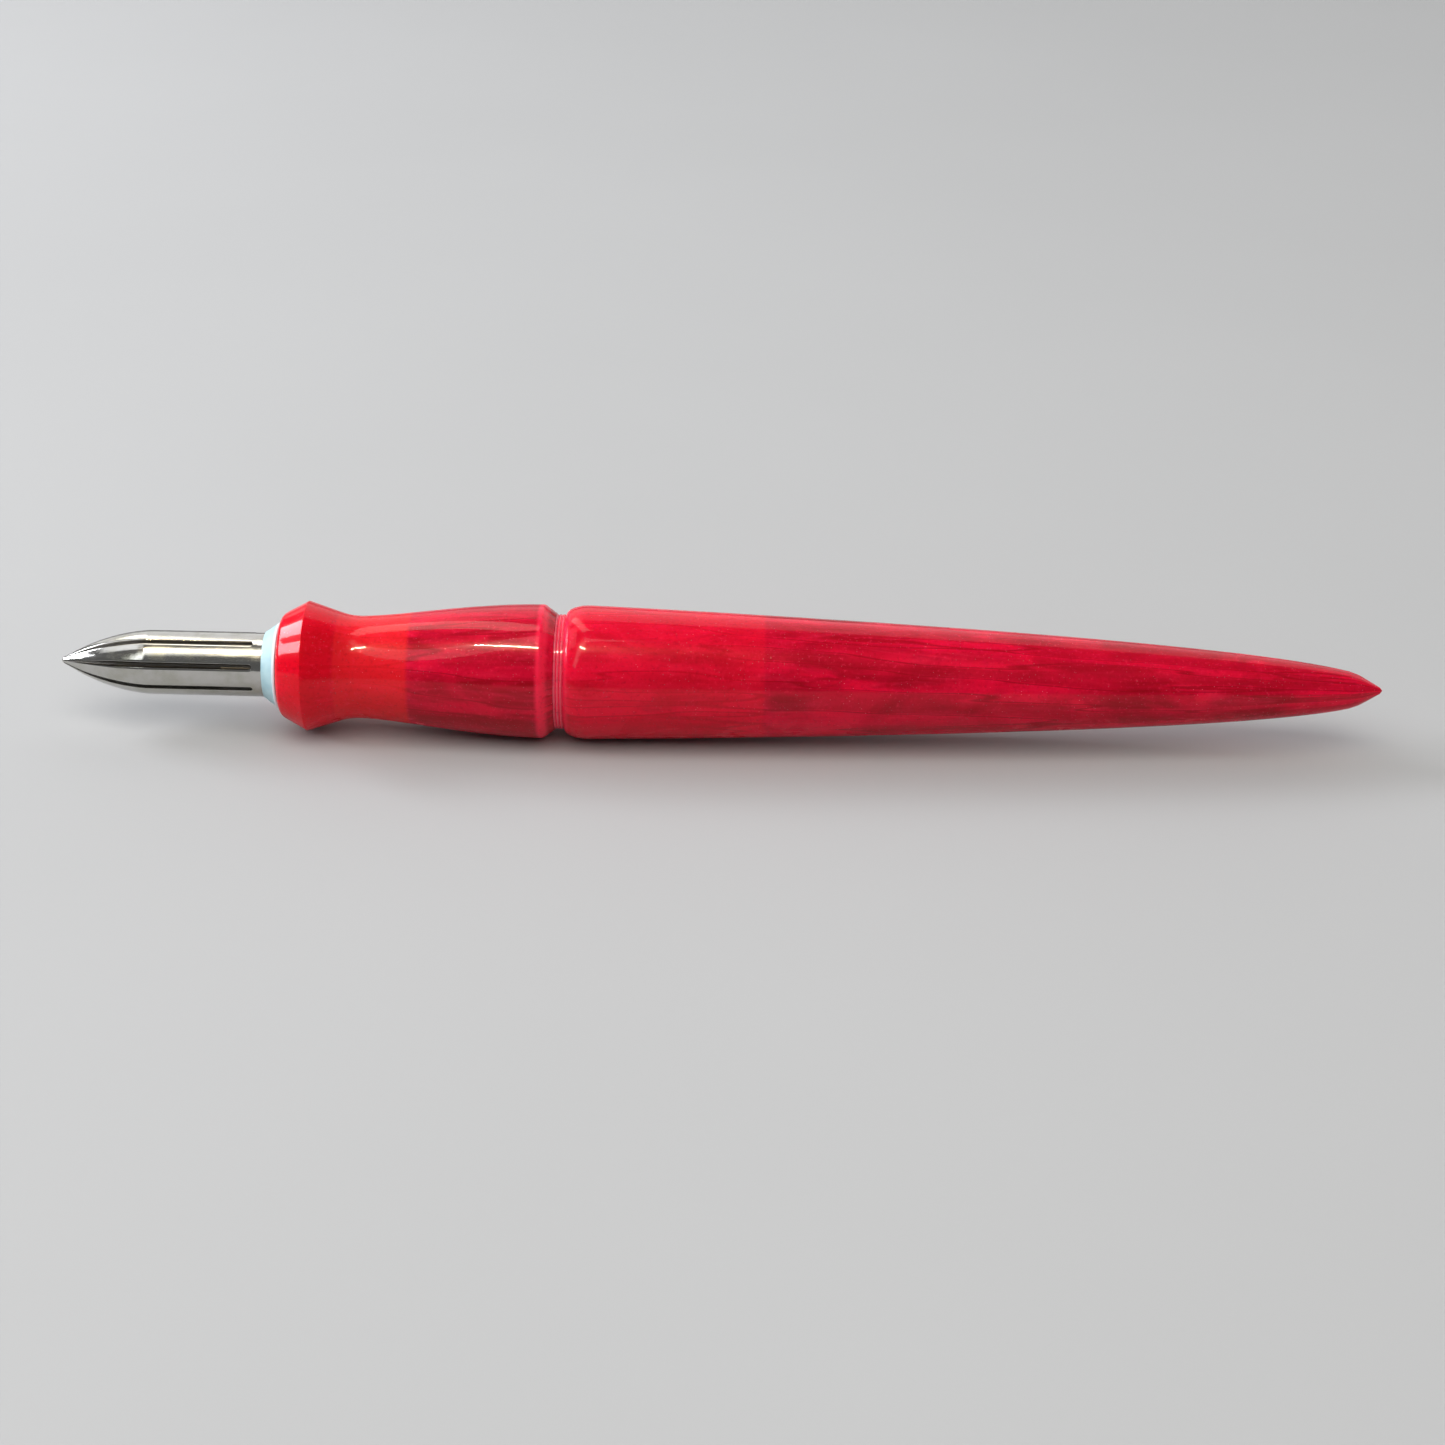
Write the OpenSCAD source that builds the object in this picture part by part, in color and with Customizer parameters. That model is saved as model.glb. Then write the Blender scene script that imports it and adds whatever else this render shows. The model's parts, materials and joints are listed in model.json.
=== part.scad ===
// Dip pen: a fluted metal nib, held by two rubber rings in the front half of a turned resin
// holder whose front and rear halves screw together.
// The pen lies along X with its point towards -X and +Z up. Z = 0 is the lowest point of
// the barrel. A station is a distance in mm along the pen, measured from the nib's point.

/* [Overall] */
// Length from the nib's point to the tail
pen_len = 144; // [138:1:150]
// Largest radius of the barrel
barrel_r = 7.3; // [7.1:0.1:7.8]

/* [Nib] */
// Length of the nib in front of the nose collar
nib_len = 22.3; // [20:0.1:25]
// Radius of the nib's body
nib_r = 3.5; // [3.3:0.1:3.6]
// Length of the pointed front part
ogive_len = 9.7; // [8:0.1:12]
// How far the pointed part bulges out from a straight cone
ogive_bulge = 0.62; // [0.4:0.01:0.8]
// Radius of the rounded writing point
point_r = 0.38; // [0.3:0.01:0.5]
// Number of ink grooves
groove_count = 8; // [6:1:8]
// Width of an ink groove
groove_w = 0.6; // [0.4:0.05:0.6]
// Depth of an ink groove on the nib's body
groove_depth = 0.5; // [0.3:0.05:0.7]
// Plain band left between the grooves and the nose collar
groove_margin = 1.05; // [0.8:0.05:2]
// How far the nib is turned in its socket, in degrees: 0 has a groove at the very top
nib_turn = 24.5; // [0:0.5:44.5]
// Radius of the shank that goes into the holder
shank_r = 2.4; // [2.3:0.05:2.45]
// Length of the shank
shank_len = 15.2; // [14.2:0.2:18]
// Rubber section radius of a nib ring
ring_wire_r = 0.48; // [0.4:0.02:0.48]
// Distance from the nib's shoulder to the front rubber ring
front_ring_offset = 8; // [7:0.1:9.5]
// Distance from the nib's shoulder to the rear rubber ring
rear_ring_offset = 13; // [11:0.1:13]

/* [Front half of the holder] */
// Length of the visible cone of the nose collar
collar_len = 1.75; // [1.5:0.05:2.5]
// Radius of the collar's front rim
collar_front_r = 3.62; // [3.6:0.02:3.8]
// Radius of the collar's rear rim
collar_rear_r = 4.66; // [4.4:0.02:4.7]
// Depth of the collar's spigot inside the grip section
spigot_len = 4; // [3:0.5:5]
// Radius of the grip section's front edge
nose_r = 4.8; // [4.75:0.05:5]
// Rounding of that edge
nose_round = 1.15; // [0.8:0.05:1.2]
// Distance from the section's front to the sharp ridge of the bead
ridge_offset = 2.95; // [2.8:0.05:4]
// Radius of the bead at its ridge
ridge_r = 7.09; // [6.8:0.01:7.1]
// Slope of the bead behind its ridge, in degrees
bead_slope = 18.2; // [17:0.1:20]
// Blend radius between the bead and the waist
waist_blend_r = 7; // [4:0.5:8]
// Smallest radius of the grip
waist_r = 5.58; // [5.4:0.02:5.8]
// Length of the flare from the waist to the section's rear edge
flare_len = 20; // [19:0.1:21]
// Power that pulls the flare's steepest part towards the waist
flare_lean = 0.8; // [0.7:0.05:1]
// Length of the chamfer at the section's rear edge
rear_chamfer_len = 1.3; // [0.8:0.05:1.5]

/* [Screw joint] */
// Radius of the turned neck ring
neck_r = 6.25; // [6.1:0.05:6.6]
// Length of the neck ring
neck_len = 1.05; // [1.05:0.05:2]
// Distance between the fine turned lines on the neck ring
line_pitch = 0.36; // [0.3:0.02:0.4]
// Depth of those lines
line_depth = 0.1; // [0.05:0.01:0.15]
// Outer radius of the stud's thread
thread_r = 3.9; // [3.7:0.05:4]
// Length of the thread
thread_len = 9; // [8:0.5:10]
// Radial play between a shaft and its bore
play = 0.06; // [0.04:0.01:0.08]

/* [Barrel] */
// Length of the rounded mouth
mouth_len = 2.5; // [2.2:0.1:4]
// First power in the taper's curve, which sets how straight it starts
taper_power = 1.07; // [1:0.01:1.2]
// Second power in the taper's curve, which sets how full it is towards the tail
tail_power = 0.41; // [0.4:0.01:0.5]
// Slope of the short cone that closes the tail, in radius per length
tail_slope = 0.57; // [0.45:0.01:0.8]
// Radius of that cone at the tail's end
tail_end_r = 0.2; // [0.1:0.05:0.4]
// Depth of the hole bored into the barrel from its mouth
bore_depth = 21.6; // [14:0.2:30]

/* [Hidden] */
$fn = 96;
// gap left for glue, and between pieces that touch
glue_gap = 0.02;
// wall of the brass tube around the nib's shank
sleeve_wall = 0.8;
// the joint stud's glued end and its unthreaded tip
stud_spigot_r = 3;
stud_spigot_len = 10;
stud_pilot_len = 1;
// wall of the brass bushing in the barrel
bushing_wall = 1.1;
// through hole that lets air out of the nib's socket
vent_r = 1;
// how far a cutter runs past the surface that it cuts
margin = 1;

shank_bore_r = shank_r + 0.1;
ring_centre_r = shank_bore_r - glue_gap - ring_wire_r;
ring_seat_r = ring_centre_r - ring_wire_r - glue_gap;
sleeve_r = shank_bore_r + sleeve_wall;
spigot_r = sleeve_r + 0.8;

// stations of the joints between the pieces, front to rear
section_front = nib_len + collar_len;
sleeve_front = section_front + spigot_len;
sleeve_rear = nib_len + shank_len + 0.8;
ridge_at = section_front + ridge_offset;
bead_foot_at = ridge_at + (ridge_r - waist_r) / tan(bead_slope);
blend_reach = waist_blend_r * tan(bead_slope / 2);
waist_at = bead_foot_at + blend_reach;
section_rear = waist_at + flare_len + rear_chamfer_len;
barrel_front = section_rear + neck_len;
taper_at = barrel_front + mouth_len;
thread_end = barrel_front + thread_len;
bushing_rear = thread_end + stud_pilot_len + 0.5;

// A body of revolution about the pen's axis, from an outline of [station, radius] points.
module turned(outline) {
    translate([-pen_len / 2, 0, barrel_r])
        rotate([0, 90, 0])
            rotate_extrude()
                polygon([for (p = outline) [p[1], p[0]]]);
}

// A straight round bar or drill between two stations.
module bar(from, to, r) {
    translate([from - pen_len / 2, 0, barrel_r])
        rotate([0, 90, 0])
            cylinder(h = to - from, r = r);
}

// A straight tube between two stations.
module tube(from, to, outer_r, inner_r) {
    turned([[from, inner_r], [to, inner_r], [to, outer_r], [from, outer_r]]);
}

// Points on the bulged line from a to b: an arc whose height over its chord is bulge.
function arc_between(a, b, bulge, steps) =
    let (
        chord = norm(b - a),
        along = (b - a) / chord,
        across = [-along[1], along[0]],
        arc_r = (chord * chord / 4 + bulge * bulge) / (2 * bulge),
        half = asin(chord / 2 / arc_r),
        centre = (a + b) / 2 - across * (arc_r - bulge)
    )
    [for (i = [0 : steps])
        let (turn = half * (2 * i / steps - 1))
        centre + arc_r * (along * sin(turn) + across * cos(turn))];

function point_round() =
    [for (turn = [0 : 30 : 60]) [point_r * (1 - cos(turn)), point_r * sin(turn)]];

function ogive(lift, steps) =
    arc_between([point_r, point_r + lift[0]], [ogive_len, nib_r + lift[1]], ogive_bulge, steps);

// One groove's cutter, seen from the side: the floor follows the ogive and then the body.
module groove_side() {
    floor_line = ogive([-0.02, -groove_depth], 10);
    groove_end = nib_len - groove_margin - groove_w / 2;
    polygon(concat(
        floor_line,
        [[groove_end, nib_r - groove_depth], [groove_end, nib_r + margin],
         [point_r, nib_r + margin]]
    ));
}

module groove_cutter() {
    rotate([90, 0, 0])
        linear_extrude(groove_w, center = true)
            groove_side();
    translate([nib_len - groove_margin - groove_w / 2, 0, nib_r - groove_depth])
        cylinder(h = groove_depth + margin, r = groove_w / 2);
}

// The nib: rounded point, bulged front, fluted body and a shank with two ring seats.
module nib() {
    seat_half = ring_wire_r + 0.06;
    seats = [for (offset = [front_ring_offset, rear_ring_offset], side = [-1, 1])
        let (edge = nib_len + offset + side * seat_half)
        [[edge, side < 0 ? shank_r : ring_seat_r], [edge, side < 0 ? ring_seat_r : shank_r]]];
    color("silver")
        difference() {
            turned(concat(
                point_round(),
                ogive([0, 0], 12),
                [[nib_len, nib_r], [nib_len, shank_r]],
                [for (seat = seats) each seat],
                [[nib_len + shank_len - 0.4, shank_r], [nib_len + shank_len, shank_r - 0.4],
                 [nib_len + shank_len, 0]]
            ));
            translate([-pen_len / 2, 0, barrel_r])
                for (i = [0 : groove_count - 1])
                    rotate([nib_turn + i * 360 / groove_count, 0, 0])
                        groove_cutter();
        }
}

// One rubber ring in its seat on the shank.
module nib_ring(offset) {
    color("dimgray")
        translate([nib_len + offset - pen_len / 2, 0, barrel_r])
            rotate([0, 90, 0])
                rotate_extrude()
                    translate([ring_centre_r, 0])
                        circle(r = ring_wire_r, $fn = 32);
}

// The pale cone around the nib, with a spigot inside the grip section.
module nose_collar() {
    color("lightcyan")
        turned([
            [nib_len + glue_gap, shank_bore_r + 0.1],
            [sleeve_front - glue_gap, shank_bore_r + 0.1],
            [sleeve_front - glue_gap, spigot_r],
            [section_front, spigot_r],
            [section_front, collar_rear_r],
            [section_front - 0.15, collar_rear_r],
            [nib_len + glue_gap, collar_front_r]
        ]);
}

// The metal tube that the shank and its rings slide in.
module nib_sleeve() {
    color("goldenrod")
        tube(sleeve_front, sleeve_rear, sleeve_r, shank_bore_r);
}

// Outer line of the grip section: rounded nose, ridged bead, waist, flare and chamfer.
function section_outline() = concat(
    [for (turn = [0 : 13 : 65])
        [section_front + nose_round * (1 - cos(turn)), nose_r + nose_round * sin(turn)]],
    [[ridge_at, ridge_r]],
    [for (turn = [bead_slope : -bead_slope / 4 : 0])
        [waist_at - waist_blend_r * sin(turn), waist_r + waist_blend_r * (1 - cos(turn))]],
    [for (i = [1 : 20])
        let (s = pow(i / 20, flare_lean))
        [waist_at + flare_len * i / 20, waist_r + (barrel_r - waist_r) * s * s * (3 - 2 * s)]],
    [[section_rear, neck_r + 0.1]]
);

// The grip section, bored from both ends for the pieces that are glued into it.
module grip_section() {
    color("crimson")
        difference() {
            turned(concat(
                [[section_front + glue_gap, vent_r]],
                [for (p = section_outline()) [max(p[0], section_front + glue_gap), p[1]]],
                [[section_rear, vent_r]]
            ));
            bar(section_front - margin, sleeve_front, spigot_r + glue_gap);
            bar(section_front - margin, sleeve_rear + glue_gap, sleeve_r + glue_gap);
            bar(section_rear - stud_spigot_len - glue_gap, section_rear + margin,
                stud_spigot_r + glue_gap);
        }
}

// The turned ring in the neck between the two halves, with fine turned lines.
module neck_ring() {
    line_at = barrel_front - line_pitch * 2.3;
    color("crimson")
        turned(concat(
            [[section_rear + glue_gap, thread_r + play], [section_rear + glue_gap, neck_r]],
            [for (i = [0 : 1], edge = [-1, 0, 1])
                [line_at + line_pitch * (i + edge / 4), neck_r - line_depth * (1 - abs(edge))]],
            [[barrel_front - glue_gap, neck_r], [barrel_front - glue_gap, thread_r + play]]
        ));
}

// The metal stud: a spigot glued into the section, and the thread that enters the barrel.
module joint_stud() {
    color("gainsboro")
        turned([
            [section_rear - stud_spigot_len, 0],
            [section_rear - stud_spigot_len, stud_spigot_r],
            [section_rear + glue_gap, stud_spigot_r],
            [section_rear + glue_gap, thread_r],
            [thread_end, thread_r],
            [thread_end, thread_r - 0.6],
            [thread_end + stud_pilot_len - 0.4, thread_r - 0.6],
            [thread_end + stud_pilot_len, thread_r - 1],
            [thread_end + stud_pilot_len, 0]
        ]);
}

// The threaded metal bushing glued into the barrel's mouth.
module barrel_bushing() {
    color("goldenrod")
        tube(barrel_front + 0.4, bushing_rear, thread_r + play + bushing_wall, thread_r + play);
}

// Outer line of the barrel: rounded mouth, long convex taper and pointed tail.
function barrel_outline() = concat(
    [for (i = [0 : 8])
        let (s = 1 - cos(90 * i / 8))
        [barrel_front + mouth_len * s, neck_r + (barrel_r - neck_r) * sqrt(1 - pow(1 - s, 2))]],
    [for (i = [1 : 36])
        let (s = 1 - pow(1 - i / 36, 1.6))
        [taper_at + (pen_len - taper_at) * s,
         min(barrel_r * pow(1 - pow(s, taper_power), tail_power),
             tail_end_r + tail_slope * (pen_len - taper_at) * (1 - s))]]
);

// The barrel, bored from its mouth, and wider there for the bushing.
module barrel() {
    bore_r = thread_r + play;
    color("crimson")
        difference() {
            turned(concat([[barrel_front, 0]], barrel_outline()));
            bar(barrel_front - margin, bushing_rear + glue_gap, bore_r + bushing_wall + glue_gap);
            bar(barrel_front - margin, barrel_front + bore_depth, bore_r);
        }
}

nib();
nib_ring(front_ring_offset);  // front_nib_ring
nib_ring(rear_ring_offset);  // rear_nib_ring
nose_collar();
nib_sleeve();
grip_section();
neck_ring();
joint_stud();
barrel_bushing();
barrel();
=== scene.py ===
import json
import math

import bmesh
import bpy
import numpy as np
from mathutils import Matrix, Vector


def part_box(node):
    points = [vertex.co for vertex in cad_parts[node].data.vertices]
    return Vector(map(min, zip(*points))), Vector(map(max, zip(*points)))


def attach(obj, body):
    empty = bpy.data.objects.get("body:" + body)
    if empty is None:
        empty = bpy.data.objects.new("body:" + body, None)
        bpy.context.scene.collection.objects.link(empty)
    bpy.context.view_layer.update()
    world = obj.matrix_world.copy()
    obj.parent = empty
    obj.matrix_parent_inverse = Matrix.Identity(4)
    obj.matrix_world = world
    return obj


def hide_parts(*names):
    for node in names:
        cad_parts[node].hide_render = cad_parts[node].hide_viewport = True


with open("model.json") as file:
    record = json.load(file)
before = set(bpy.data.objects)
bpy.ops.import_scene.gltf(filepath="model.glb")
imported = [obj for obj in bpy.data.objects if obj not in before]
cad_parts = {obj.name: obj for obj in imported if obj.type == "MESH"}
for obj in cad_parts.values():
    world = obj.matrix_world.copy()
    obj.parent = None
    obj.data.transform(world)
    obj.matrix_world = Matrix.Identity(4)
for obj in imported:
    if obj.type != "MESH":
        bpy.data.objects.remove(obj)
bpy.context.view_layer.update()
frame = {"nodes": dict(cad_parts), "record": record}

# The pen lies along X, its point towards -X. Every piece is a body of revolution about the
# pen's axis, so a shape is told by stations (places along X) and radii, both in metres.
MM = 0.001
SEGMENTS = 128
EDGE = 0.07 * MM        # half the width of an eased edge
SHARP_TURN = 11         # degrees; an outline that turns more than this has a corner there

barrel_low, barrel_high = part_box("barrel")
section_low, section_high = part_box("grip_section")
collar_low, collar_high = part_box("nose_collar")
sleeve_low, sleeve_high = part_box("nib_sleeve")
stud_low, stud_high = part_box("joint_stud")
nib_low, nib_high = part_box("nib")
BARREL_MIDDLE = (barrel_low.x + barrel_high.x) / 2
tail = max(frame["nodes"]["barrel"].data.vertices, key=lambda v: v.co.x)
AXIS_Z = tail.co.z


# ---------------------------------------------------------------- outlines from the frame

def turned_points(node):
    """The distinct (station, radius) pairs of a CAD node's corners, sorted by station."""
    points = set()
    for v in frame["nodes"][node].data.vertices:
        radius = math.hypot(v.co.y, v.co.z - AXIS_Z)
        points.add((round(v.co.x, 6), round(radius, 6)))
    return sorted(points)


def radii_at(node, station):
    """The radii that a CAD node has at one station, smallest first."""
    return sorted(r for x, r in turned_points(node) if abs(x - station) < 3e-6)


def stations(node):
    """The stations at which a CAD node has corners, front to rear."""
    return sorted({x for x, _ in turned_points(node)})


def outer_line(node):
    """The outside of a bored node, front to rear: the largest radius at each station."""
    mouth_r = radii_at(node, stations(node)[0])[0]
    line = {}
    for x, r in turned_points(node):
        line[x] = max(r, line.get(x, 0))
    return [(x, r) for x, r in sorted(line.items()) if r > mouth_r + EDGE]


def convex_line(node, last_station):
    """The outside of a node that bulges everywhere: the upper hull of its points."""
    hull = []
    for x, r in turned_points(node):
        if x > last_station + 1e-6:
            break
        while len(hull) > 1:
            (ax, ar), (bx, br) = hull[-2], hull[-1]
            if (bx - ax) * (r - ar) - (br - ar) * (x - ax) < 0:
                break
            hull.pop()
        if hull and hull[-1][0] == x:
            hull.pop()
        hull.append((x, r))
    return hull


def bore_line(node, last_station):
    """The inside of a bored node, rear to front, stepping from each bore to the next. The
    bore is widest at the node's front."""
    mouth_r = radii_at(node, stations(node)[0])[0]
    steps = {}
    for x, r in turned_points(node):
        if r < mouth_r + EDGE and x < last_station:
            steps.setdefault(x, set()).add(r)
    line = []
    for x in sorted(steps, reverse=True):
        last = line[-1][1] if line else 0
        line += [(x, r) for r in sorted(steps[x], key=lambda r: abs(r - last))]
    return line


def turn_at(before, here, after):
    """How sharply an outline turns at a point, in degrees."""
    a = math.atan2(here[1] - before[1], here[0] - before[0])
    b = math.atan2(after[1] - here[1], after[0] - here[0])
    return abs(math.degrees((b - a + math.pi) % math.tau - math.pi))


def eased(outline, closed, edge=EDGE):
    """Guards each sharp corner with a point on either side, then cuts corners twice: smooth
    runs become smoother, and sharp corners become small rounded edges."""
    count = len(outline)
    guarded = []
    for i, here in enumerate(outline):
        before, after = outline[i - 1], outline[(i + 1) % count]
        inside = closed or 0 < i < count - 1
        if not inside or turn_at(before, here, after) < SHARP_TURN:
            guarded.append(here)
            continue
        for other in (before, None, after):
            if other is None:
                guarded.append(here)
                continue
            gap = math.dist(here, other)
            share = min(edge / gap, 0.45)
            guarded.append(tuple(h + (o - h) * share for h, o in zip(here, other)))
    for _ in range(2):
        cut = [] if closed else [guarded[0]]
        for i in range(len(guarded) if closed else len(guarded) - 1):
            a, b = guarded[i], guarded[(i + 1) % len(guarded)]
            cut.append(tuple(0.75 * p + 0.25 * q for p, q in zip(a, b)))
            cut.append(tuple(0.25 * p + 0.75 * q for p, q in zip(a, b)))
        guarded = cut if closed else cut + [guarded[-1]]
    return guarded


def rounded(outline, i, reach):
    """Replaces corner i of an outline with a smooth bend that starts reach before it."""
    before, here, after = outline[i - 1], outline[i], outline[i + 1]
    first, last = (tuple(h + (o - h) * min(reach / math.dist(here, other), 0.5)
                         for h, o in zip(here, other)) for other in (before, after))
    bend = []
    for step in range(9):
        t = step / 8
        weights = ((1 - t) ** 2, 2 * t * (1 - t), t * t)
        bend.append(tuple(sum(w * c for w, c in zip(weights, axis))
                          for axis in zip(first, here, last)))
    return outline[:i] + bend + outline[i + 1:]


# ---------------------------------------------------------------- meshes

def skin(name, xs, radii, angles, closed=False, sharp_angle=32):
    """A mesh over rings of points. xs and radii are [ring, point] arrays; a ring of radius 0
    becomes a pole, and a closed skin joins its last ring to its first."""
    rings, around = radii.shape
    ys = radii * np.cos(angles)
    zs = AXIS_Z + radii * np.sin(angles)
    points = np.stack([xs, ys, zs], axis=-1).reshape(-1, 3)
    faces = []
    for i in range(rings if closed else rings - 1):
        a, b = i * around, ((i + 1) % rings) * around
        for j in range(around):
            k = (j + 1) % around
            faces.append((a + j, b + j, b + k, a + k))
    mesh = bpy.data.meshes.new(name)
    mesh.from_pydata(points.tolist(), [], faces)
    shape = bmesh.new()
    shape.from_mesh(mesh)
    bmesh.ops.remove_doubles(shape, verts=shape.verts, dist=2e-7)
    bmesh.ops.dissolve_degenerate(shape, edges=shape.edges, dist=1e-8)
    bmesh.ops.recalc_face_normals(shape, faces=shape.faces)
    shape.to_mesh(mesh)
    shape.free()
    mesh.shade_smooth()
    mesh.set_sharp_from_angle(angle=math.radians(sharp_angle))
    piece = bpy.data.objects.new(name, mesh)
    bpy.context.scene.collection.objects.link(piece)
    return piece


def lathe(name, outline, closed=False):
    """A body of revolution from an outline of (station, radius) points."""
    line = np.array(outline)
    angles = np.tile(np.arange(SEGMENTS) * math.tau / SEGMENTS, (len(line), 1))
    xs = np.repeat(line[:, :1], SEGMENTS, axis=1)
    radii = np.repeat(line[:, 1:], SEGMENTS, axis=1)
    return skin(name, xs, radii, angles, closed)


def place(piece, body, material, node):
    """Gives a piece its material and slot, lets it ride its body and stand for its node."""
    if not piece.data.materials:
        piece.data.materials.append(material)
    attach(piece, body)
    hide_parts(node)


# ---------------------------------------------------------------- material helper

class Shader:
    """Builds one node material: add() makes a node, and its inputs are values or sockets."""

    def __init__(self, name):
        self.material = bpy.data.materials.new(name)
        self.material.use_nodes = True
        self.tree = self.material.node_tree
        self.surface = self.tree.nodes["Principled BSDF"]
        self.place = self.add("ShaderNodeTexCoord").outputs["Object"]

    def wire(self, node, inputs):
        """Links or sets each input of a node."""
        for key, value in inputs.items():
            socket = node.inputs[key]
            if isinstance(value, bpy.types.NodeSocket):
                self.tree.links.new(value, socket)
            else:
                socket.default_value = value
        return node

    def add(self, kind, inputs=None, **settings):
        """A new node of a kind, with its settings and inputs."""
        node = self.tree.nodes.new(kind)
        for key, value in settings.items():
            setattr(node, key, value)
        return self.wire(node, inputs or {})

    def stretched(self, along, across):
        """The object's coordinates scaled by so much per metre along and across the pen."""
        scale = (along, across, across)
        return self.add("ShaderNodeMapping", {"Vector": self.place, "Scale": scale}).outputs[0]

    def noise(self, along, across, detail=3.0, roughness=0.5, distortion=0.0):
        """Noise with so many cells per metre along and across the pen."""
        inputs = {"Vector": self.stretched(along, across), "Scale": 1.0, "Detail": detail,
                  "Roughness": roughness, "Distortion": distortion}
        return self.add("ShaderNodeTexNoise", inputs).outputs["Fac"]

    def math(self, operation, a, b=0.0):
        return self.add("ShaderNodeMath", {0: a, 1: b}, operation=operation).outputs[0]

    def between(self, value, low, high, to_low=0.0, to_high=1.0):
        """A smooth step of value from low to high."""
        inputs = {"Value": value, "From Min": low, "From Max": high,
                  "To Min": to_low, "To Max": to_high}
        node = self.add("ShaderNodeMapRange", inputs, interpolation_type="SMOOTHSTEP")
        return node.outputs[0]

    def mix(self, share, a, b):
        """Colour a with a share of colour b."""
        node = self.add("ShaderNodeMix", {0: share, 6: a, 7: b}, data_type="RGBA")
        return node.outputs[2]

    def bump(self, height, strength, depth):
        """Lets a height map tilt the surface's normal."""
        inputs = {"Height": height, "Strength": strength, "Distance": depth}
        self.wire(self.surface, {"Normal": self.add("ShaderNodeBump", inputs).outputs[0]})

    def set(self, **values):
        """Sets the surface's inputs; an underscore in a name stands for a space."""
        self.wire(self.surface, {key.replace("_", " "): v for key, v in values.items()})
        return self.material


def rgb(red, green, blue):
    """A linear colour, opaque."""
    return (red, green, blue, 1.0)


# ---------------------------------------------------------------- materials

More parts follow.
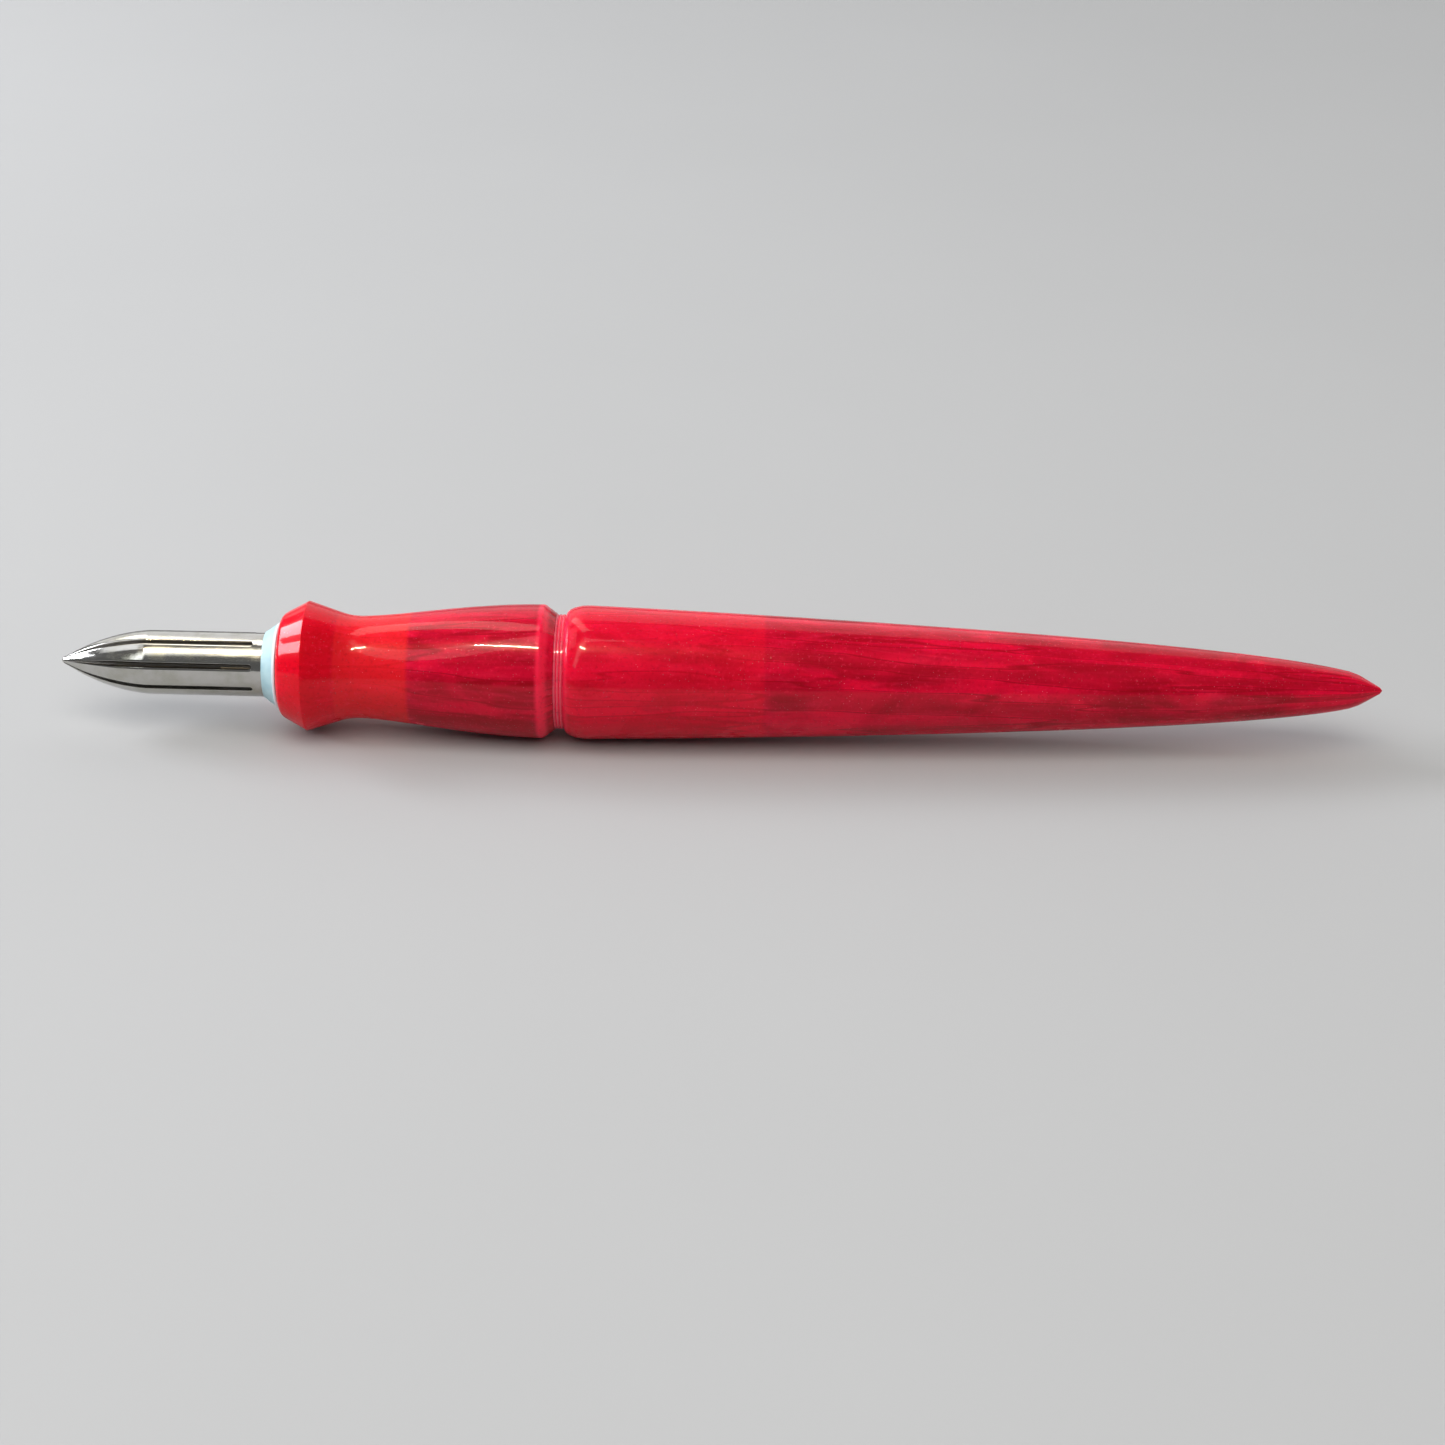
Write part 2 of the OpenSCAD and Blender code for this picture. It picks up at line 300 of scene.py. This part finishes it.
def red_resin(name, lit, glow, lines=()):
    """Translucent pearl resin. lit is the stretch of stations over a glued-in or bored-out
    core, how strongly it shows through and its colour; glow is the stretch beside an edge,
    where light that entered the resin leaves it again; lines are the stations of turned
    lines, where pale bands are painted on as highlights on their crests."""
    s = Shader(name)
    along, across, up = s.add("ShaderNodeSeparateXYZ", {"Vector": s.place}).outputs
    turn = s.math("ARCTAN2", across, s.math("SUBTRACT", up, AXIS_Z))
    clouds = s.between(s.noise(120, 240, 4, 0.55, 0.6), 0.34, 0.68)
    streaks = s.between(s.noise(22, 620, 4, 0.6, 0.3), 0.36, 0.66)
    veil = s.between(s.noise(70, 420, 5, 0.65, 1.2), 0.50, 0.78)
    grain = s.noise(2600, 2600, 4, 0.6)
    deep = rgb(0.33, 0.0008, 0.009)
    body = rgb(0.76, 0.0012, 0.034)
    pearl = rgb(0.86, 0.022, 0.075)
    colour = s.mix(clouds, deep, body)
    colour = s.mix(s.math("MULTIPLY", streaks, 0.5), colour, rgb(0.88, 0.003, 0.045))
    colour = s.mix(s.math("MULTIPLY", veil, 0.45), colour, pearl)

    # long fine dark lines and broader dark bands running along the pen, placed by noise round
    # its axis
    angle = s.add("ShaderNodeCombineXYZ", {"X": s.math("MULTIPLY", along, 30),
                                           "Y": s.math("MULTIPLY", turn, 2.6)}).outputs[0]
    band_noise = s.add("ShaderNodeTexNoise", {"Vector": angle, "Scale": 1.0, "Detail": 1.5})
    dark_line = s.math("ABSOLUTE", s.math("SUBTRACT", band_noise.outputs["Fac"], 0.5))
    colour = s.mix(s.between(dark_line, 0.0, 0.022, 0.80, 0.0), colour, deep)
    colour = s.mix(s.between(band_noise.outputs["Fac"], 0.50, 0.56, 0.0, 0.42), colour, deep)

    inside = s.math("MULTIPLY", s.between(along, lit[0] - 0.3 * MM, lit[0] + 0.3 * MM),
                    s.between(along, lit[1] - 0.3 * MM, lit[1] + 0.3 * MM, 1.0, 0.0))
    colour = s.mix(s.math("MULTIPLY", inside, lit[2]), colour, lit[3])
    ahead = s.between(along, lit[0] - 0.3 * MM, lit[0] + 0.3 * MM, 0.75, 0.0)
    colour = s.mix(ahead, colour, rgb(0.74, 0.001, 0.010))
    # painted highlight: a pale lavender band on each turned line, standing in for light caught
    # on its crest
    for line in lines:
        away = s.math("ABSOLUTE", s.math("SUBTRACT", along, line))
        colour = s.mix(s.between(away, 0.07 * MM, 0.12 * MM, 0.85, 0.0), colour,
                       rgb(0.90, 0.60, 0.72))
    edge = s.math("MULTIPLY", s.between(along, glow[0] - 0.4 * MM, glow[0] + 0.2 * MM),
                  s.between(along, glow[1] - 0.2 * MM, glow[1] + 0.4 * MM, 1.0, 0.0))
    colour = s.mix(s.math("MULTIPLY", edge, 0.8), colour, rgb(1.0, 0.020, 0.070))

    colour = s.mix(s.between(grain, 0.55, 0.75, 0.0, 0.40), colour, pearl)
    colour = s.mix(s.between(grain, 0.48, 0.28, 0.0, 0.35), colour, deep)
    flecks = s.add("ShaderNodeTexVoronoi", {"Vector": s.stretched(6200, 6200), "Scale": 1.0})
    picked = s.add("ShaderNodeSeparateColor", {"Color": flecks.outputs["Color"]}).outputs[0]
    spark = s.math("MULTIPLY", s.between(flecks.outputs["Distance"], 0.34, 0.16),
                   s.math("GREATER_THAN", picked, 0.955))
    colour = s.mix(s.math("MULTIPLY", spark, 0.6), colour, rgb(1.0, 0.30, 0.36))

    scuffs = s.noise(90, 2600, 3)
    s.bump(s.math("ADD", s.noise(900, 900, 2), s.math("MULTIPLY", scuffs, 0.3)), 0.10, 0.02 * MM)
    rough = s.math("ADD", s.between(clouds, 0.0, 1.0, 0.17, 0.26),
                   s.math("MULTIPLY", scuffs, 0.06))
    s.surface.subsurface_method = "RANDOM_WALK"
    return s.set(Base_Color=colour, Roughness=rough, IOR=1.50, Coat_Weight=0.36,
                 Coat_Roughness=0.03, Specular_IOR_Level=0.04, Subsurface_Weight=0.40,
                 Subsurface_Scale=1.0 * MM, Subsurface_Radius=(2.4, 0.3, 0.3),
                 Metallic=s.math("MULTIPLY", spark, 0.6))


def polished_steel(name, colour, roughness, ring_pitch, ring_strength):
    """Machined metal: fine turned lines around it, and faint stains and handling marks."""
    s = Shader(name)
    along = s.add("ShaderNodeSeparateXYZ", {"Vector": s.place}).outputs[0]
    phase = s.math("MULTIPLY", along, math.tau / ring_pitch)
    wander = s.math("MULTIPLY", s.noise(900, 500, 3), 9.0)
    rings = s.math("SINE", s.math("ADD", phase, wander))
    s.bump(s.math("ADD", rings, s.math("MULTIPLY", s.noise(5200, 900, 3), 1.2)),
           ring_strength, 0.01 * MM)
    stain = s.between(s.noise(420, 420, 4, 0.6), 0.35, 0.72)
    tint = s.mix(stain, colour, rgb(*(c * 0.82 for c in colour[:2]), colour[2] * 0.76))
    marks = s.between(s.noise(160, 3000, 3), 0.45, 0.8, 0.0, 0.10)
    rough = s.math("ADD", s.between(stain, 0.0, 1.0, roughness, roughness + 0.07), marks)
    return s.set(Base_Color=tint, Metallic=1.0, Roughness=rough, IOR=2.6)


def collar_plastic():
    """Satin pale blue plastic with fine turned lines, a slightly darker mottle, and a painted
    highlight: a pale band round its rear rim.
    """
    s = Shader("collar_plastic")
    along = s.add("ShaderNodeSeparateXYZ", {"Vector": s.place}).outputs[0]
    rings = s.math("SINE", s.math("MULTIPLY", along, math.tau / (0.09 * MM)))
    s.bump(s.math("ADD", rings, s.noise(4000, 4000, 3)), 0.18, 0.012 * MM)
    mottle = s.between(s.noise(700, 700, 4, 0.6), 0.3, 0.7)
    colour = s.mix(mottle, rgb(0.38, 0.58, 0.64), rgb(0.46, 0.65, 0.69))
    # painted highlight: a pale band at the collar's rear rim, standing in for light caught on
    # its rounded edge
    rim = s.between(along, section_low.x - 0.46 * MM, section_low.x - 0.40 * MM)
    colour = s.mix(rim, colour, rgb(0.80, 0.83, 0.87))
    return s.set(Base_Color=colour, Roughness=s.between(mottle, 0.0, 1.0, 0.38, 0.48), IOR=1.48,
                 Subsurface_Weight=0.15, Subsurface_Scale=0.5 * MM,
                 Subsurface_Radius=(1.0, 1.0, 1.0))


def ring_rubber():
    """Matte black rubber with a fine moulded grain and a little dust."""
    s = Shader("ring_rubber")
    grain = s.noise(6000, 6000, 3)
    s.bump(grain, 0.3, 0.01 * MM)
    colour = s.mix(s.between(s.noise(900, 900, 3), 0.4, 0.8), rgb(0.012, 0.012, 0.013),
                   rgb(0.05, 0.048, 0.046))
    return s.set(Base_Color=colour, Roughness=s.between(grain, 0.2, 0.8, 0.55, 0.75))


def pale_floor():
    """A plain pale matte floor."""
    s = Shader("pale_floor")
    colour = s.mix(s.noise(9, 9, 3), rgb(0.43, 0.43, 0.425), rgb(0.46, 0.46, 0.455))
    return s.set(Base_Color=colour, Roughness=0.85, Specular_IOR_Level=0.2)


# painted shade: the groove faces get a near-black steel, so the insides of the grooves look
# shaded
GROOVE_PAINTED_SHADE_STEEL = polished_steel("nib_groove_painted_shade_steel", rgb(0.10, 0.095, 0.09), 0.30, 0.05 * MM, 0.3)
NIB_STEEL = polished_steel("nib_steel", rgb(0.54, 0.53, 0.505), 0.10, 0.05 * MM, 0.035)
STUD_STEEL = polished_steel("stud_steel", rgb(0.60, 0.60, 0.60), 0.20, 0.12 * MM, 0.05)
BRASS = polished_steel("machined_brass", rgb(0.78, 0.56, 0.26), 0.22, 0.10 * MM, 0.10)
COLLAR_PLASTIC = collar_plastic()
RING_RUBBER = ring_rubber()


# ---------------------------------------------------------------- resin pieces

CHAMFER_AT = [x for x, r in outer_line("grip_section") if r > section_high.z - AXIS_Z - EDGE][-1]


def grip_section():
    """The front half: rounded nose, ridged bead, waist and flare, bored from both ends."""
    outline = outer_line("grip_section") + bore_line("grip_section", barrel_low.x)
    outline = rounded(outline, [x for x, r in outline].index(CHAMFER_AT), 0.5 * MM)
    return lathe("grip_section_resin", eased(outline, closed=True), closed=True)


def neck_lines():
    """The stations of the neck's three turned lines, and their pitch."""
    low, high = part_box("neck_ring")
    outer = radii_at("neck_ring", low.x)[-1]
    cuts = [x for x, r in outer_line("neck_ring") if low.x < x < high.x and r < outer - 1e-5]
    pitch = cuts[1] - cuts[0]
    return [cuts[1] + (i - 0.2) * pitch for i in (-1, 0, 1)], pitch


def neck_ring():
    """The ring in the neck, with fine turned lines: each drops at once and rises slowly."""
    low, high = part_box("neck_ring")
    bore, outer = radii_at("neck_ring", low.x)[0], radii_at("neck_ring", low.x)[-1]
    lines, pitch = neck_lines()
    outline = [(low.x, outer)]
    for at in lines:
        outline += [(at, outer), (at + 0.12 * pitch, outer - 0.11 * MM),
                    (at + 0.52 * pitch, outer - 0.005 * MM), (at + 0.58 * pitch, outer)]
    outline += [(high.x, outer), (high.x, bore), (low.x, bore)]
    return lathe("neck_ring_resin", eased(outline, closed=True, edge=0.015 * MM), closed=True)


def barrel():
    """The rear half: rounded mouth, long convex taper and small tail, bored at the front."""
    inner = bore_line("barrel", BARREL_MIDDLE)
    outline = [(inner[0][0], 0.0)] + inner + convex_line("barrel", barrel_high.x)
    return lathe("barrel_resin", eased(outline, closed=False))


# ---------------------------------------------------------------- nib

GROOVES = 8
GROOVE_TURN = math.radians(114.5)       # where the first groove is, round the axis
GROOVE_START = 0.25 * MM                # from the point
GROOVE_START_HALF = 0.05 * MM           # half-width where a groove starts
GROOVE_FULL_AT = 6.0 * MM               # length over which it grows to its full size
GROOVE_HALF = 0.30 * MM
GROOVE_DEPTH = 0.50 * MM
WIDEST_OPENING = 0.36                   # half-width, as a share of the land's radius
PLAIN_BAND = 1.05 * MM                  # between the grooves' round ends and the shoulder
FLOOR_STEP_AT = 4.4 * MM                # ahead of the shoulder
FLOOR_STEP = 0.07 * MM

# places across one groove, as shares of its half-width, and the depth there
GROOVE_EDGE = 1.12
ACROSS = [(-GROOVE_EDGE, 0.0), (-1.0, 0.03), (-0.985, 0.42), (-0.85, 0.70), (-0.5, 0.93),
          (0.0, 1.0), (0.5, 0.93), (0.85, 0.70), (0.985, 0.42), (1.0, 0.03),
          (GROOVE_EDGE, 0.0)]
LAND_SHARES = (0.1, 0.3, 0.5, 0.7, 0.9)


def nib_outline():
    """The nib's lands and shank, front to rear, with a seat for each rubber ring."""
    shoulder = collar_low.x - 0.02 * MM
    lands = convex_line("nib", shoulder)
    shank_r = radii_at("nib", next(x for x in stations("nib") if x > collar_high.x))[-1]
    line = lands + [(shoulder, shank_r)]
    for node in ("front_nib_ring", "rear_nib_ring"):
        low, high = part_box(node)
        seat_r = (high.z - AXIS_Z) - (high.x - low.x) - 0.02 * MM
        front, rear = low.x - 0.06 * MM, high.x + 0.06 * MM
        line += [(front, shank_r), (front, seat_r), (rear, seat_r), (rear, shank_r)]
    chamfer = 0.4 * MM
    line += [(nib_high.x - chamfer, shank_r), (nib_high.x, shank_r - chamfer)]
    return line + [(nib_high.x, 0.0)], shoulder


def groove_section(x, land_r, shoulder):
    """Half-width and depth of a groove at a station, and how far its round end has closed."""
    start = nib_low.x + GROOVE_START
    grown = min(max((x - start) / GROOVE_FULL_AT, 0.0), 1.0) ** 0.8
    half = GROOVE_START_HALF + (GROOVE_HALF - GROOVE_START_HALF) * grown
    half = min(half, WIDEST_OPENING * land_r)
    depth = min(GROOVE_DEPTH * grown, 0.45 * land_r)
    if x > shoulder - FLOOR_STEP_AT:
        depth -= FLOOR_STEP
    end_centre = shoulder - PLAIN_BAND - GROOVE_HALF
    if x > end_centre:
        past = min((x - end_centre) / GROOVE_HALF, 1.0)
        half *= math.sqrt(max(1 - past * past, 0.05))
    if x < start or x > shoulder - PLAIN_BAND:
        depth = 0.0
    return half, depth


def nib_line(outline, shoulder):
    """The nib's outline with the stations that its grooves need, front to rear."""
    coarse = eased(outline, closed=False, edge=0.05 * MM)
    line = [coarse[0]]
    for a, b in zip(coarse, coarse[1:]):
        spacing = 0.10 * MM if a[0] < nib_low.x + 2 * MM else 0.25 * MM
        steps = max(1, math.ceil(math.dist(a, b) / spacing)) if a[0] < shoulder - 1e-6 else 1
        line += [tuple(p + (q - p) * i / steps for p, q in zip(a, b))
                 for i in range(1, steps + 1)]
    body_r = radii_at("nib", shoulder)[-1]
    end_centre = shoulder - PLAIN_BAND - GROOVE_HALF
    for past in (0.0, 0.25, 0.5, 0.7, 0.85, 0.94, 0.985, 1.0, 1.03):
        line.append((end_centre + past * GROOVE_HALF, body_r))
    for step in (-0.02, 0.02):
        line.append((shoulder - FLOOR_STEP_AT + step * MM, body_r))
    front = sorted(p for p in line if p[0] < shoulder - 0.2 * MM)
    return front + [p for p in line if p[0] >= shoulder - 0.2 * MM]


def nib():
    """The fluted nib. Each ring of points keeps a point on both edges of every groove, so
    the grooves have crisp edges all the way to the writing point."""
    outline, shoulder = nib_outline()
    line = nib_line(outline, shoulder)
    rings_x, rings_r, rings_a = [], [], []
    pitch = math.tau / GROOVES
    for x, land_r in line:
        fluted = x <= shoulder - PLAIN_BAND / 2 and land_r > 0
        half, depth = groove_section(x, land_r, shoulder) if fluted else (GROOVE_HALF, 0.0)
        opening = math.asin(min(half / max(land_r, 0.4 * MM), WIDEST_OPENING))
        radii, angles = [], []
        for k in range(GROOVES):
            centre = GROOVE_TURN + k * pitch
            for share, sunk in ACROSS:
                radii.append(max(land_r - depth * sunk, 0.0))
                angles.append(centre + share * opening)
            edge = GROOVE_EDGE * opening
            for share in LAND_SHARES:
                radii.append(land_r)
                angles.append(centre + edge + share * (pitch - 2 * edge))
        rings_r.append(radii)
        rings_a.append(angles)
        rings_x.append([x] * len(radii))
    piece = skin("nib_steel", np.array(rings_x), np.array(rings_r), np.array(rings_a),
                 sharp_angle=38)
    piece.data.materials.append(NIB_STEEL)
    piece.data.materials.append(GROOVE_PAINTED_SHADE_STEEL)
    stations_x, stations_r = zip(*sorted(line))
    # faces inside a groove take the second, near-black material: painted shade in the grooves
    for face in piece.data.polygons:
        x, y, z = face.center
        land_r = np.interp(x, stations_x, stations_r)
        half, depth = groove_section(x, land_r, shoulder)
        off = (math.atan2(z - AXIS_Z, y) - GROOVE_TURN + pitch / 2) % pitch - pitch / 2
        if depth > 0 and x < shoulder - PLAIN_BAND and abs(off) * land_r < half * 0.99:
            face.material_index = 1
    return piece


def nib_ring(node):
    """A rubber ring: a torus whose section shows the mould's parting line."""
    low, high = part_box(node)
    wire = (high.x - low.x) / 2
    centre = (low.x + high.x) / 2
    middle_r = (high.z - AXIS_Z) - wire
    loop = []
    for i in range(32):
        turn = math.tau * i / 32
        proud = 1.0 if i % 16 else 0.985
        loop.append((centre + wire * proud * math.cos(turn),
                     middle_r + wire * proud * math.sin(turn)))
    return lathe(node + "_rubber", loop, closed=True)


# ---------------------------------------------------------------- collar and sleeve

def nose_collar():
    """The pale cone, with its rear rim, a fine gap to the resin, and the spigot behind it."""
    front, rim, face, end = (stations("nose_collar")[i] for i in (0, -3, -2, -1))
    bore = radii_at("nose_collar", front)[0]
    gap = 0.12 * MM
    loop = [(front, bore), (front, radii_at("nose_collar", front)[-1]),
            (rim - gap, collar_high.z - AXIS_Z), (face - gap, collar_high.z - AXIS_Z),
            (face - gap, radii_at("nose_collar", end)[-1]),
            (end, radii_at("nose_collar", end)[-1]), (end, bore)]
    return lathe("nose_collar_plastic", eased(loop, closed=True, edge=0.04 * MM), closed=True)


def nib_sleeve():
    """The brass tube that takes the shank, with a chamfer at each end of its bore."""
    bore, outer = radii_at("nib_sleeve", sleeve_low.x)[0], sleeve_high.z - AXIS_Z
    chamfer = 0.2 * MM
    loop = [(sleeve_low.x + chamfer, bore), (sleeve_low.x, bore + chamfer),
            (sleeve_low.x, outer), (sleeve_high.x, outer),
            (sleeve_high.x, bore + chamfer), (sleeve_high.x - chamfer, bore)]
    return lathe("nib_sleeve_brass", eased(loop, closed=True), closed=True)


# ---------------------------------------------------------------- screw joint

LEAD = frame["record"]["behaviour"]["couplings"][0]["ratio"] * math.tau
THREAD_DEPTH = 0.5 * MM
THREAD_RELIEF = 0.35 * MM       # unthreaded stretch between the shoulder and the thread
BUSHING_PLAY = 0.02 * MM        # how much deeper than its bore the bushing's thread is cut
THREAD_SEGMENTS = 96
RINGS_PER_TURN = 16


def thread_height(x, angle):
    """How far the right-hand thread stands out, from 0 at its root to 1 at its crest."""
    turns = (x - barrel_low.x) / LEAD - angle / math.tau
    from_crest = abs(2 * (turns % 1.0) - 1)
    return min(max((0.80 - from_crest) / 0.55, 0.0), 1.0)


def threaded(name, outline, first, last, straight_r, internal):
    """A lathe piece whose straight stretch at straight_r, between two stations, has a thread:
    cut into a shaft, or standing inwards from a bore."""
    line = []
    for a, b in zip(outline, outline[1:] + outline[:1]):
        line.append(a)
        straight = abs(a[1] - straight_r) < 1e-6 and abs(b[1] - straight_r) < 1e-6
        if straight and abs(b[0] - a[0]) > 4 * LEAD:
            steps = round(abs(b[0] - a[0]) / LEAD * RINGS_PER_TURN)
            line += [(a[0] + (b[0] - a[0]) * i / steps, straight_r) for i in range(1, steps)]
    ring_a = [math.tau * j / THREAD_SEGMENTS for j in range(THREAD_SEGMENTS)]
    radii = []
    for x, r in line:
        ring_r = [r] * THREAD_SEGMENTS
        if abs(r - straight_r) < 1e-6 and first < x < last:
            fade = min((x - first) / (0.6 * LEAD), (last - x) / (0.6 * LEAD), 1.0)
            heights = [thread_height(x, angle) for angle in ring_a]
            if internal:
                ring_r = [r + BUSHING_PLAY - THREAD_DEPTH * (1 - h) for h in heights]
            else:
                ring_r = [r - THREAD_DEPTH * (1 - h * fade) for h in heights]
        radii.append(ring_r)
    xs = [[x] * THREAD_SEGMENTS for x, _ in line]
    return skin(name, np.array(xs), np.array(radii), np.array([ring_a] * len(line)),
                closed=internal, sharp_angle=50)


def joint_stud():
    """The steel stud: glued spigot with grip grooves, shoulder, right-hand thread and pilot."""
    spigot_r = radii_at("joint_stud", stud_low.x)[-1]
    thread_r = stud_high.z - AXIS_Z
    shoulder = section_high.x + 0.02 * MM
    thread_end = [x for x in stations("joint_stud") if x < stud_high.x - 0.5 * MM][-1]
    pilot_r = radii_at("joint_stud", thread_end)[0]
    outline = [(stud_low.x, 0.0), (stud_low.x, spigot_r - 0.3 * MM),
               (stud_low.x + 0.3 * MM, spigot_r)]
    for i in range(5):
        at = stud_low.x + (1.6 + 1.6 * i) * MM
        outline += [(at, spigot_r), (at + 0.15 * MM, spigot_r - 0.2 * MM),
                    (at + 0.5 * MM, spigot_r - 0.2 * MM), (at + 0.65 * MM, spigot_r)]
    outline += [(shoulder, spigot_r), (shoulder, thread_r), (thread_end, thread_r),
                (thread_end, pilot_r), (stud_high.x - 0.4 * MM, pilot_r),
                (stud_high.x, pilot_r - 0.4 * MM), (stud_high.x, 0.0)]
    return threaded("joint_stud_steel", outline, barrel_low.x + THREAD_RELIEF,
                    thread_end - 0.05 * MM, thread_r, internal=False)


def barrel_bushing():
    """The brass bushing, with the thread that the stud turns in."""
    low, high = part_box("barrel_bushing")
    bore, outer = radii_at("barrel_bushing", low.x)[0], high.z - AXIS_Z
    chamfer = 0.15 * MM
    loop = [(high.x, bore), (low.x, bore), (low.x, outer - chamfer), (low.x + chamfer, outer),
            (high.x - chamfer, outer), (high.x, outer - chamfer)]
    return threaded("barrel_bushing_brass", loop, low.x + 0.05 * MM, high.x - 0.05 * MM,
                    bore, internal=True)


# ---------------------------------------------------------------- assembly

# the sleeve's front end is hidden in the thick bead, so it shows from a little behind it
SLEEVE_SEEN_FROM = sleeve_low.x + 2.2 * MM
SLEEVE_END = sleeve_high.x
BORE_END = bore_line("barrel", BARREL_MIDDLE)[0][0]

SECTION_RESIN = red_resin(
    "section_resin", (SLEEVE_SEEN_FROM, SLEEVE_END, 0.75, rgb(0.80, 0.012, 0.016)),
    (CHAMFER_AT - 0.4 * MM, CHAMFER_AT + 0.5 * MM))
NECK_RESIN = red_resin(
    "neck_resin", (section_high.x, barrel_low.x, 0.3, rgb(0.86, 0.03, 0.06)),
    (section_high.x - MM, barrel_low.x + MM), neck_lines()[0])
BARREL_RESIN = red_resin(
    "barrel_resin", (barrel_low.x - MM, BORE_END, 0.40, rgb(0.84, 0.003, 0.024)),
    (barrel_low.x - MM, barrel_low.x + 0.3 * MM))

place(grip_section(), "holder_front", SECTION_RESIN, "grip_section")
place(neck_ring(), "neck", NECK_RESIN, "neck_ring")
place(barrel(), "holder_rear", BARREL_RESIN, "barrel")
place(nib(), "nib", NIB_STEEL, "nib")
place(nib_ring("front_nib_ring"), "nib_rings", RING_RUBBER, "front_nib_ring")
place(nib_ring("rear_nib_ring"), "nib_rings", RING_RUBBER, "rear_nib_ring")
place(nose_collar(), "holder_front", COLLAR_PLASTIC, "nose_collar")
place(nib_sleeve(), "holder_front", BRASS, "nib_sleeve")
place(joint_stud(), "holder_front", STUD_STEEL, "joint_stud")
place(barrel_bushing(), "holder_rear", BRASS, "barrel_bushing")


# ---------------------------------------------------------------- stage, light and camera

def floor():
    """A wide floor at the height of the surface that the pen lies on."""
    half = 1.5
    corners = [(-half, -half, 0), (half, -half, 0), (half, half, 0), (-half, half, 0)]
    mesh = bpy.data.meshes.new("floor")
    mesh.from_pydata(corners, [], [(0, 1, 2, 3)])
    mesh.materials.append(pale_floor())
    piece = bpy.data.objects.new("floor", mesh)
    bpy.context.scene.collection.objects.link(piece)
    piece.location.z = barrel_low.z


def softbox(name, at, size, power, colour=(1.0, 1.0, 1.0), mirrored=True, lighting=True):
    """A rectangular light at a place, facing the pen; mirrored says whether glossy surfaces
    show it, and lighting whether it lights matte ones."""
    light = bpy.data.lights.new(name, "AREA")
    light.shape = "RECTANGLE"
    light.size, light.size_y = size
    light.energy = power
    light.color = colour
    lamp = bpy.data.objects.new(name, light)
    lamp.location = at
    lamp.rotation_euler = (-Vector(at)).to_track_quat("-Z", "Y").to_euler()
    lamp.visible_glossy = mirrored
    lamp.visible_diffuse = lighting
    bpy.context.scene.collection.objects.link(lamp)


def studio():
    """Plain soft light: a broad one above, and smaller ones for the reflections."""
    world = bpy.data.worlds.new("studio")
    world.use_nodes = True
    world.node_tree.nodes["Background"].inputs["Color"].default_value = rgb(0.80, 0.82, 0.85)
    world.node_tree.nodes["Background"].inputs["Strength"].default_value = 0.18
    bpy.context.scene.world = world
    softbox("overhead", (-0.10, -0.48, 0.86), (1.2, 0.9), 8.2, (1.0, 0.98, 0.95), mirrored=False)
    softbox("window_low", (-0.84, 0.00, 0.38), (0.34, 0.20), 4.2, (0.90, 0.93, 1.0))
    softbox("window_high", (-0.70, 0.34, 0.46), (0.34, 0.20), 4.2, (0.90, 0.93, 1.0))
    softbox("left_panel", (-0.54, 0.08, 0.78), (0.62, 0.40), 1.0, (0.95, 0.97, 1.0))
    softbox("nib_strip", (-0.28, 0.46, 0.80), (0.18, 0.80), 1.7, (1.0, 0.95, 0.86),
            lighting=False)
    softbox("nib_fill", (-0.29, -0.42, 0.80), (0.16, 1.00), 1.1, (0.96, 1.0, 0.97),
            lighting=False)
    softbox("back_panel", (0.20, 1.20, 0.75), (2.6, 1.2), 9.0)
    softbox("warm_lamp", (-0.15, -0.30, 0.75), (0.20, 0.022), 6.0, (1.0, 0.80, 0.50),
            lighting=False)
    bpy.context.scene.view_settings.view_transform = "Standard"


def camera():
    """The viewing angle: nearly square on, 27 degrees above the surface."""
    yaw, elevation, roll = (math.radians(a) for a in (-0.459, 26.973, 1.144))
    distance = 0.31241
    aim = Vector((0.00025, 0.0, 0.00153))
    look = Vector((math.sin(yaw) * math.cos(elevation), math.cos(yaw) * math.cos(elevation),
                   -math.sin(elevation)))
    level = Vector((math.cos(yaw), -math.sin(yaw), 0.0))
    upright = level.cross(look)
    right = level * math.cos(roll) + upright * math.sin(roll)
    up = upright * math.cos(roll) - level * math.sin(roll)
    lens = bpy.data.cameras.new("camera")
    lens.sensor_width = 36
    lens.lens = 70.78
    lens.clip_start = 0.01
    view = bpy.data.objects.new("camera", lens)
    turn = Matrix((right, up, -look)).transposed().to_4x4()
    view.matrix_world = Matrix.Translation(aim - look * distance) @ turn
    bpy.context.scene.collection.objects.link(view)
    bpy.context.scene.camera = view


floor()
studio()
camera()
